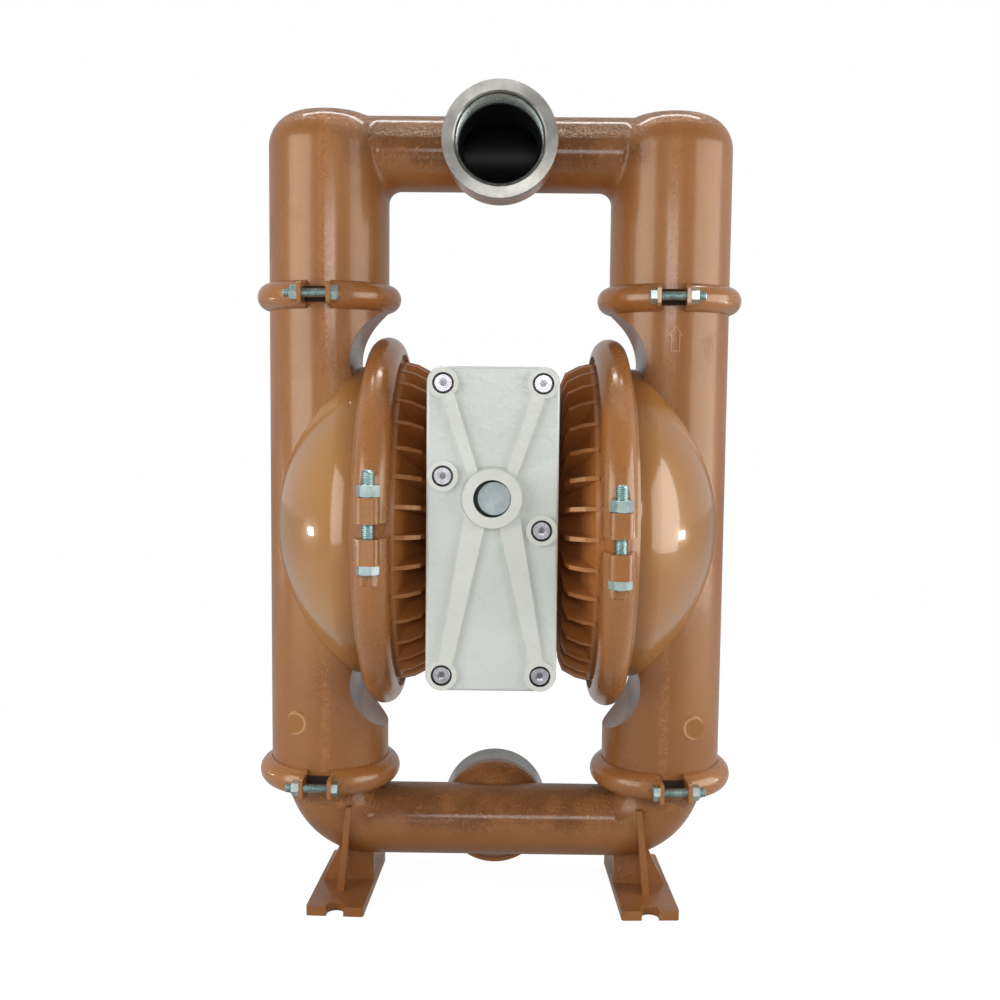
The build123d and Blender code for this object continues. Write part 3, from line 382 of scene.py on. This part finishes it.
def off_white(name, screws):
    t = Tree(name)
    cloud = t.ramp(t.noise(14.0, 3.0), 0.3, 0.7)
    color = t.mix(cloud, (0.585, 0.62, 0.585), (0.635, 0.66, 0.625))
    speck = t.ramp(t.noise(120.0, 4.0, 0.65), 0.60, 0.75)
    color = t.mix(t.math("MULTIPLY", speck, 0.10), color, (0.50, 0.49, 0.36))
    if screws:
        # Painted highlight: the ribs and bosses standing out from the face are lighter and yellower.
        raised_highlight = t.ramp(t.y, -0.1622, -0.1634)
        color = t.mix(t.math("MULTIPLY", raised_highlight, 0.5), color, (0.665, 0.665, 0.585))
        # Painted shade: a near-black ring round each screw head, where the counterbore falls in shadow.
        ring = t.ramp(screw_spots(t), 0.0098, 0.0102, 1.0, 0.0)
        color = t.mix(ring, color, (0.012, 0.012, 0.013))
    height = t.math("ADD", t.math("MULTIPLY", t.noise(240.0, 2.0), 0.3), t.noise(48.0, 2.0))
    return t.done(t.surface(color, 0.32, 0.0, t.bump(height, 0.0022, 0.8), 1.0, 0.10))


def steel(name, tone, dark, rough_low, rough_high, stretch=(1.0, 1.0, 1.0), painted_socket_shade=False):
    t = Tree(name)
    flow = t.stretched(*stretch)
    streak = t.noise(900.0, 3.0, 0.6, flow)
    cloud = t.ramp(t.noise(120.0, 3.0), 0.35, 0.7)
    color = t.mix(cloud, tone, dark)
    if painted_socket_shade:
        # Painted shade: the hex recesses in the screw heads are darkened.
        hole = t.ramp(screw_spots(t), 0.0024, 0.0036, 0.75, 0.0)
        color = t.mix(hole, color, (0.10, 0.10, 0.11))
    height = t.math("ADD", streak, t.math("MULTIPLY", t.noise(240.0, 2.0), 0.5))
    rough = t.ramp(streak, 0.3, 0.7, rough_low, rough_high)
    return t.done(t.surface(color, rough, 1.0, t.bump(height, 0.00015, 0.4)))


def rubber(name, tone, rough=0.6):
    t = Tree(name)
    color = t.mix(t.ramp(t.noise(60.0, 3.0), 0.3, 0.7), tone, tuple(c * 1.6 for c in tone))
    grain = t.bump(t.noise(600.0, 4.0), 0.0003, 0.4)
    wear = t.ramp(t.noise(200.0), 0.3, 0.7, rough - 0.08, rough + 0.08)
    return t.done(t.surface(color, wear, 0.0, grain))


def grey_plug(name):
    """Soft grey disc in its hole, with a near-black crescent of painted shade near its rim that makes it
    look recessed and a little off centre.
    """
    t = Tree(name)
    cloud = t.ramp(t.noise(90.0, 4.0, 0.65), 0.35, 0.7)
    color = t.mix(cloud, (0.37, 0.43, 0.44), (0.47, 0.535, 0.555))
    # Painted shade: a near-black crescent where the wall of the recess would be in shadow.
    reach = t.radius_about(t.x, t.z, PLATE_X + 0.0020, PLATE_Z + EXHAUST_DZ - 0.0002)
    painted_recess_shade = t.ramp(reach, 0.0151, 0.0156)
    color = t.mix(painted_recess_shade, color, (0.012, 0.014, 0.014))
    height = t.math("ADD", t.noise(420.0, 4.0), t.math("MULTIPLY", t.noise(60.0, 2.0), 0.8))
    return t.done(t.surface(color, 0.55, 0.0, t.bump(height, 0.0005, 0.6), 0.0, 0.1, 0.3))


column_brown = chamber_enamel("brown_enamel_column")
# Painted highlight: the band's lighter brown is 14 percent above the column brown, standing in for its
# highlight.
band_tones_with_painted_highlight = (tuple(c * 1.14 for c in LEG_BROWN[0]), LEG_BROWN[0])
band_brown = brown_enamel("brown_enamel_band", band_tones_with_painted_highlight, 0.16, 0.6, 0.14)
arrow_brown = brown_enamel("brown_enamel_arrow", ((0.62, 0.33, 0.14), (0.50, 0.24, 0.09)), 0.3)
ribbed_brown = brown_enamel("brown_enamel_ribbed", RIB_BROWN, 0.3, 0.3, 0.24, (0.36, 0.48))
outlet_material = manifold_enamel(
    "brown_enamel_outlet", OUTLET_Z, OUTLET_FACE_Y, side=-1.0,
    bare_from=0.0735, line_z=None, rough_z=OUTLET_Z + 0.006, narrow=0.0350,
)
inlet_material = manifold_enamel(
    "brown_enamel_inlet", INLET_Z, INLET_FACE_Y, side=1.0,
    bare_from=0.031, line_z=INLET_Z + 0.028, rough_z=INLET_Z + 0.024, narrow=0.0325,
)
plate_material = off_white("off_white_enamel", True)
valve_material = off_white("off_white_enamel_valve", False)
zinc = steel("zinc_plate", (0.56, 0.68, 0.66), (0.40, 0.52, 0.52), 0.28, 0.42)
bright = steel("bright_screw_plate", (0.62, 0.605, 0.64), (0.44, 0.425, 0.46), 0.22, 0.34, painted_socket_shade=True)
chrome = steel("hard_chrome", (0.72, 0.72, 0.74), (0.62, 0.62, 0.65), 0.06, 0.14, (0.05, 1, 1))
piston_steel = steel("piston_steel", (0.50, 0.51, 0.53), (0.38, 0.39, 0.41), 0.28, 0.42)
bare_aluminium = steel("machined_aluminium", (0.60, 0.61, 0.62), (0.48, 0.49, 0.50), 0.26, 0.40)
thread_metal = steel("cut_thread", (0.48, 0.52, 0.49), (0.34, 0.38, 0.36), 0.24, 0.36)
bronze = steel("bearing_bronze", (0.55, 0.35, 0.15), (0.42, 0.26, 0.11), 0.28, 0.42)
black_rubber = rubber("black_rubber", (0.018, 0.018, 0.019))
gasket_rubber = rubber("gasket_rubber", (0.025, 0.025, 0.027), 0.72)
plug_material = grey_plug("grey_plug")


def material_for(name):
    if name == "discharge_manifold":
        return outlet_material
    if name == "inlet_manifold":
        return inlet_material
    if name.endswith("liquid_chamber"):
        return column_brown
    if name.endswith("air_chamber") or name == "centre_block":
        return ribbed_brown
    if "clamp" in name and "half" in name:
        return band_brown
    if name == "exhaust_plate":
        return plate_material
    if name == "air_valve_body":
        return valve_material
    if name == "exhaust_plug":
        return plug_material
    if name == "exhaust_plate_screws":
        return bright
    if "gasket" in name:
        return gasket_rubber
    if "oring" in name or "seals" in name or "diaphragm" in name or "ball" in name:
        return black_rubber
    if "piston" in name:
        return piston_steel
    if name == "shaft":
        return chrome
    if "bushing" in name or "sleeve" in name:
        return bronze
    if "spool" in name or "end_caps" in name or "seat" in name:
        return bare_aluminium
    return zinc


for name, node in nodes.items():
    node.data.materials.clear()
    node.data.materials.append(material_for(name))


# ---------------------------------------------------------------- detail pieces
def new_piece(name, verts, faces, material, smooth=True):
    mesh = bpy.data.meshes.new(name)
    mesh.from_pydata(verts, [], faces)
    mesh.validate()
    mesh.materials.append(material)
    obj = bpy.data.objects.new(name, mesh)
    scene.collection.objects.link(obj)
    for face in mesh.polygons:
        face.use_smooth = smooth
    return obj


class Build:
    """Vertices and faces of several shapes gathered into one piece."""

    def __init__(self):
        self.verts = []
        self.faces = []

    def add(self, verts, faces, place=None):
        start = len(self.verts)
        self.verts += [tuple(place @ Vector(v)) if place else tuple(v) for v in verts]
        self.faces += [tuple(start + i for i in face) for face in faces]


def ring_stack(rings):
    """Quads between rings of equal count, listed from one end to the other."""
    count = len(rings[0])
    verts = [point for ring in rings for point in ring]
    faces = []
    for level in range(len(rings) - 1):
        for i in range(count):
            k = (i + 1) % count
            here, above = level * count, (level + 1) * count
            faces.append((here + i, here + k, above + k, above + i))
    return verts, faces


def circle_ring(radius, z, count=48):
    angles = [2 * pi * i / count for i in range(count)]
    return [(radius * cos(angle), radius * sin(angle), z) for angle in angles]


def hex_shape(flats, height, bore, chamfer_low=True, chamfer_high=True, count=48):
    """Hexagon with 30 degree chamfered corners; bore 0 closes it."""
    half = flats / 2
    rim = half * 0.96
    low, high, flat_low, flat_high = [], [], [], []
    for i in range(count):
        angle = 2 * pi * i / count
        sector = (angle + pi / 6) % (pi / 3) - pi / 6
        reach = half / cos(sector)
        drop = (reach - rim) * 0.577
        c, s = cos(angle), sin(angle)
        low.append((reach * c, reach * s, drop if chamfer_low else 0.0))
        high.append((reach * c, reach * s, height - (drop if chamfer_high else 0.0)))
        flat_low.append((rim * c, rim * s, 0.0))
        flat_high.append((rim * c, rim * s, height))
    inner = max(bore, 0.00005)
    ends = circle_ring(inner, 0.0), circle_ring(inner, height)
    return ring_stack([ends[0], flat_low, low, high, flat_high, ends[1]])


def helix(crest, root, pitch, start, length, steps=32):
    """Helical thread surface along +Z."""
    verts = []
    total = int(length / pitch * steps)
    for k in range(total + steps + 1):
        angle = 2 * pi * k / steps
        z = min(start + pitch * k / steps, start + length)
        middle = min(start + pitch * (k / steps + 0.5), start + length)
        verts.append((root * cos(angle), root * sin(angle), z))
        verts.append((crest * cos(angle), crest * sin(angle), middle))
    faces = []
    for k in range(total):
        a, b, c, d = 2 * k, 2 * k + 1, 2 * k + 3, 2 * k + 2
        faces.append((a, d, c, b))
        e, f = 2 * (k + steps), 2 * (k + steps + 1)
        faces.append((b, c, f, e))
    return verts, faces


def bolt_shapes(radius, flats, head, length, pitch):
    """Head below z = 0 and threaded shank above."""
    head_verts, head_faces = hex_shape(flats, head, 0.0, True, False)
    head_verts = [(x, y, z - head) for x, y, z in head_verts]
    core = radius - 0.62 * pitch
    profile = [(core, -0.0005), (core, length - 0.001), (core - 0.001, length), (0.0001, length)]
    shank = ring_stack([circle_ring(reach, z, 32) for reach, z in profile])
    return (head_verts, head_faces), shank, helix(radius, core, pitch, 0.0008, length - 0.0018)


def fastener_sets(places, grips, radius, flats, head, nut_height, tail, pitch):
    """Bolts and nuts for every place; each place's +Z runs from head to nut."""
    bolts, nuts = Build(), Build()
    for place, turn in places:
        for verts, faces in bolt_shapes(radius, flats, head, 2 * grips + tail, pitch):
            bolts.add(verts, faces, place @ Matrix.Rotation(turn, 4, "Z"))
        verts, faces = hex_shape(flats, nut_height, radius)
        lift = Matrix.Translation((0, 0, 2 * grips + 0.00005))
        spin = Matrix.Rotation(turn + 2 * pi / 3 + 0.06, 4, "Z")
        nuts.add(verts, faces, place @ lift @ spin)
    return bolts, nuts


small_places = []
turns = {("upper", -1): -2.3, ("upper", 1): -3.6, ("lower", -1): -2.3, ("lower", 1): 4.8}
for number, ((level, side), turn) in enumerate(turns.items()):
    z = UPPER_Z if level == "upper" else LOWER_Z
    base = Matrix.Translation((side * COLUMN_X, 0, z)) @ Matrix.Rotation(radians(turn), 4, "Z")
    for end in (-1, 1):
        ear = base @ Matrix.Translation((-side * SMALL_GRIP, end * SMALL_BOLT_Y, 0))
        place = ear @ Matrix.Rotation(radians(side * 90), 4, "Y")
        small_places.append((place, 0.25 + 0.37 * number + 0.2 * end))
large_places = []
for side, turn in ((-1, -2.6), (1, 0.6)):
    base = Matrix.Translation((side * LARGE_CLAMP_X, 0, SHAFT_Z)) @ Matrix.Rotation(radians(turn), 4, "X")
    for end in (-1, 1):
        place = base @ Matrix.Translation((0, end * LARGE_BOLT_Y, -LARGE_GRIP))
        large_places.append((place, 0.48 + 0.05 * side + 0.04 * end))

for size, places, grip, dims in (
    ("small", small_places, SMALL_GRIP, (0.00476, 0.0143, 0.0065, 0.0083, 0.015, 0.00159)),
    ("large", large_places, LARGE_GRIP, (0.00635, 0.0190, 0.0085, 0.0115, 0.025, 0.00195)),
):
    bolts, nuts = fastener_sets(places, grip, *dims)
    for kind, build in (("bolts", bolts), ("nuts", nuts)):
        piece = new_piece(f"{size}_clamp_{kind}_threaded", build.verts, build.faces, zinc, False)
        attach(piece, "casing")
        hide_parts(f"{size}_clamp_{kind}")


def port_thread(name, at, face, radius, depth, pitch):
    """Thread in a port's bore, from its mouth at a point inward; face is the side it opens to."""
    place = Matrix.Translation(at) @ Matrix.Rotation(radians(face * 90), 4, "X")
    verts, faces = helix(radius - 0.00005, radius - 0.55 * pitch, pitch, 0.0, depth, 72)
    build = Build()
    build.add(verts, faces, place)
    piece = new_piece(name, build.verts, build.faces, thread_metal, False)
    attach(piece, "casing")


port_thread("discharge_port_thread", (0, -0.0822, OUTLET_Z), -1, PORT_R, 0.038, PIPE_PITCH)
port_thread("suction_port_thread", (0, 0.0682, INLET_Z), 1, PORT_R, 0.038, PIPE_PITCH)
port_thread("air_inlet_thread", (0, 0.1995, SHAFT_Z + 0.047), 1, 0.0133, 0.019, 0.001814)


def flow_arrow():
    """Raised outline of an arrow that points up, laid on the right column."""
    head = [(0.0042, 0.0158), (0.0066, 0.0158)]
    outline = [(0, 0.0247), (-0.0067, 0.0158), (-0.0038, 0.0158), (-0.0038, 0), (0.0042, 0), *head]
    width = 0.0011
    build = Build()
    for index, start in enumerate(outline):
        end = outline[(index + 1) % len(outline)]
        run = Vector((end[0] - start[0], end[1] - start[1]))
        across = Vector((-run.y, run.x)).normalized() * width / 2
        along = run.normalized() * width / 2
        steps = 4
        rows = []
        for step in range(steps + 1):
            point = Vector(start) - along + (run + 2 * along) * step / steps
            row = []
            for offset, lift in ((1.0, -0.0006), (0.6, 0.0006), (-0.6, 0.0006), (-1.0, -0.0006)):
                u = point.x + across.x * offset
                w = point.y + across.y * offset
                angle = u / COLUMN_R
                reach = COLUMN_R + lift
                x = COLUMN_X - 0.0003 + reach * sin(angle)
                row.append((x, -reach * cos(angle), ARROW_Z + w))
            rows.append(row)
        verts = [point for row in rows for point in row]
        corners = [4 * r + c for r in range(steps) for c in range(3)]
        faces = [(k, k + 1, k + 5, k + 4) for k in corners]
        faces += [(0, 1, 2, 3), (4 * steps + 3, 4 * steps + 2, 4 * steps + 1, 4 * steps)]
        build.add(verts, faces)
    piece = new_piece("flow_arrow", build.verts, build.faces, arrow_brown, False)
    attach(piece, "casing")


flow_arrow()


def flexing_diaphragm(side):
    """Rubber that follows the shaft at its middle and stays put at its clamped bead."""
    name = ("left" if side < 0 else "right") + "_diaphragm"
    mesh = nodes[name].data.copy()
    piece = bpy.data.objects.new(name + "_rubber", mesh)
    scene.collection.objects.link(piece)
    start = (side * LARGE_CLAMP_X, 0, SHAFT_Z + FLEX_OUTER)
    end = (side * LARGE_CLAMP_X, 0, SHAFT_Z + FLEX_INNER)
    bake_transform(piece, "casing", "shaft_assembly", start, end)
    weights = []
    for vertex in mesh.vertices:
        reach = sqrt(vertex.co.y ** 2 + (vertex.co.z - SHAFT_Z) ** 2)
        part = min(max((FLEX_OUTER - reach) / (FLEX_OUTER - FLEX_INNER), 0.0), 1.0)
        weights.append(part * part * (3 - 2 * part))
    mesh.attributes["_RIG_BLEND"].data.foreach_set("value", weights)
    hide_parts(name)


flexing_diaphragm(-1)
flexing_diaphragm(1)


# ---------------------------------------------------------------- stage, lights and camera
def floor():
    """White to the camera apart from the shadow; grey paper to other rays, a fifth white in reflections."""
    mesh = bpy.data.meshes.new("floor")
    corners = [(sx * 9, sy * 9, -0.0005) for sx, sy in ((-1, -1), (1, -1), (1, 1), (-1, 1))]
    mesh.from_pydata(corners, [], [(0, 1, 2, 3)])
    obj = bpy.data.objects.new("floor", mesh)
    scene.collection.objects.link(obj)
    t = Tree("floor")
    path = t.nodes.new("ShaderNodeLightPath")
    paper = t.surface((0.36, 0.36, 0.36), 0.9)
    shade = t.surface((0.80, 0.80, 0.80), 0.9)
    glow = t.nodes.new("ShaderNodeEmission")
    glow.inputs["Strength"].default_value = 1.0
    near = t.nodes.new("ShaderNodeEmission")
    near.inputs["Strength"].default_value = 1.22
    lit = t.blend(0.76, shade, near.outputs[0])
    far = t.ramp(t.radius_about(t.x, t.y, 0.0, 0.0), 0.55, 1.1)
    lit = t.blend(far, lit, glow.outputs[0])
    glossy = t.math("MULTIPLY", path.outputs["Is Glossy Ray"], 0.2)
    seen = t.math("MAXIMUM", path.outputs["Is Camera Ray"], glossy)
    mesh.materials.append(t.done(t.blend(seen, paper, lit)))


floor()


def softbox(name, azimuth, height, distance, width, tall, power):
    """Area lamp at an azimuth from the camera side, aimed at the pump's middle."""
    data = bpy.data.lights.new(name, "AREA")
    data.shape = "RECTANGLE"
    data.size = width
    data.size_y = tall
    data.energy = power
    lamp = bpy.data.objects.new(name, data)
    scene.collection.objects.link(lamp)
    angle = radians(azimuth)
    lamp.location = (distance * sin(angle), -distance * cos(angle), height)
    aim = Vector((0, 0, 0.42)) - lamp.location
    lamp.rotation_euler = aim.to_track_quat("-Z", "Y").to_euler()


softbox("left_box", -53, 0.70, 1.7, 1.25, 1.25, 17.0)
softbox("right_box", 70, 0.62, 1.7, 1.70, 1.2, 20.5)
softbox("top_box", 180, 2.3, 0.45, 1.9, 0.24, 27.0)
softbox("front_box", 3, 0.83, 1.75, 0.60, 0.30, 5.2)
softbox("front_low", -8, 0.28, 1.6, 0.34, 0.34, 0.55)
softbox("left_spot", -97, 0.27, 1.5, 0.14, 0.075, 0.8)
softbox("right_spot", 97, 0.27, 1.5, 0.14, 0.075, 0.8)

# White to the camera; reflections see white behind the pump, and all else a dim ambient light
world = bpy.data.worlds.new("studio")
scene.world = world
world.use_nodes = True
tree = world.node_tree
tree.nodes.clear()
out = tree.nodes.new("ShaderNodeOutputWorld")
paths = tree.nodes.new("ShaderNodeLightPath")
direction = tree.nodes.new("ShaderNodeTexCoord")
split = tree.nodes.new("ShaderNodeSeparateXYZ")
tree.links.new(direction.outputs["Generated"], split.inputs[0])
backness = tree.nodes.new("ShaderNodeMapRange")
backness.inputs["From Min"].default_value = -0.35
backness.inputs["From Max"].default_value = 0.45
backness.inputs["To Max"].default_value = 0.30
tree.links.new(split.outputs[1], backness.inputs["Value"])


def world_math(operation, a, b):
    node = tree.nodes.new("ShaderNodeMath")
    node.operation = operation
    node.use_clamp = True
    tree.links.new(a, node.inputs[0])
    tree.links.new(b, node.inputs[1])
    return node.outputs[0]


mirror_rays = world_math("ADD", paths.outputs["Is Glossy Ray"], paths.outputs["Is Transmission Ray"])
mirror_rays = world_math("MULTIPLY", mirror_rays, backness.outputs[0])
seen = world_math("ADD", paths.outputs["Is Camera Ray"], mirror_rays)
white = tree.nodes.new("ShaderNodeBackground")
white.inputs["Color"].default_value = (1, 1, 1, 1)
white.inputs["Strength"].default_value = 1.0
ambient = tree.nodes.new("ShaderNodeBackground")
ambient.inputs["Color"].default_value = (0.98, 0.99, 1.0, 1)
ambient.inputs["Strength"].default_value = 0.30
pick = tree.nodes.new("ShaderNodeMixShader")
tree.links.new(seen, pick.inputs[0])
tree.links.new(ambient.outputs[0], pick.inputs[1])
tree.links.new(white.outputs[0], pick.inputs[2])
tree.links.new(pick.outputs[0], out.inputs[0])

# Place, turn and lens solved from the photo
lens = bpy.data.cameras.new("camera")
lens.sensor_width = 36.0
lens.sensor_fit = "HORIZONTAL"
lens.lens = 36.0 * 1.2244
camera = bpy.data.objects.new("camera", lens)
scene.collection.objects.link(camera)
camera.matrix_world = (
    Matrix.Translation((0.01515, -1.2978, 0.5375))
    @ Matrix.Rotation(radians(0.54), 4, "Z")
    @ Matrix.Rotation(radians(90 - 4.92), 4, "X")
    @ Matrix.Rotation(radians(0.57), 4, "Z")
)
scene.camera = camera
scene.view_settings.view_transform = "Standard"
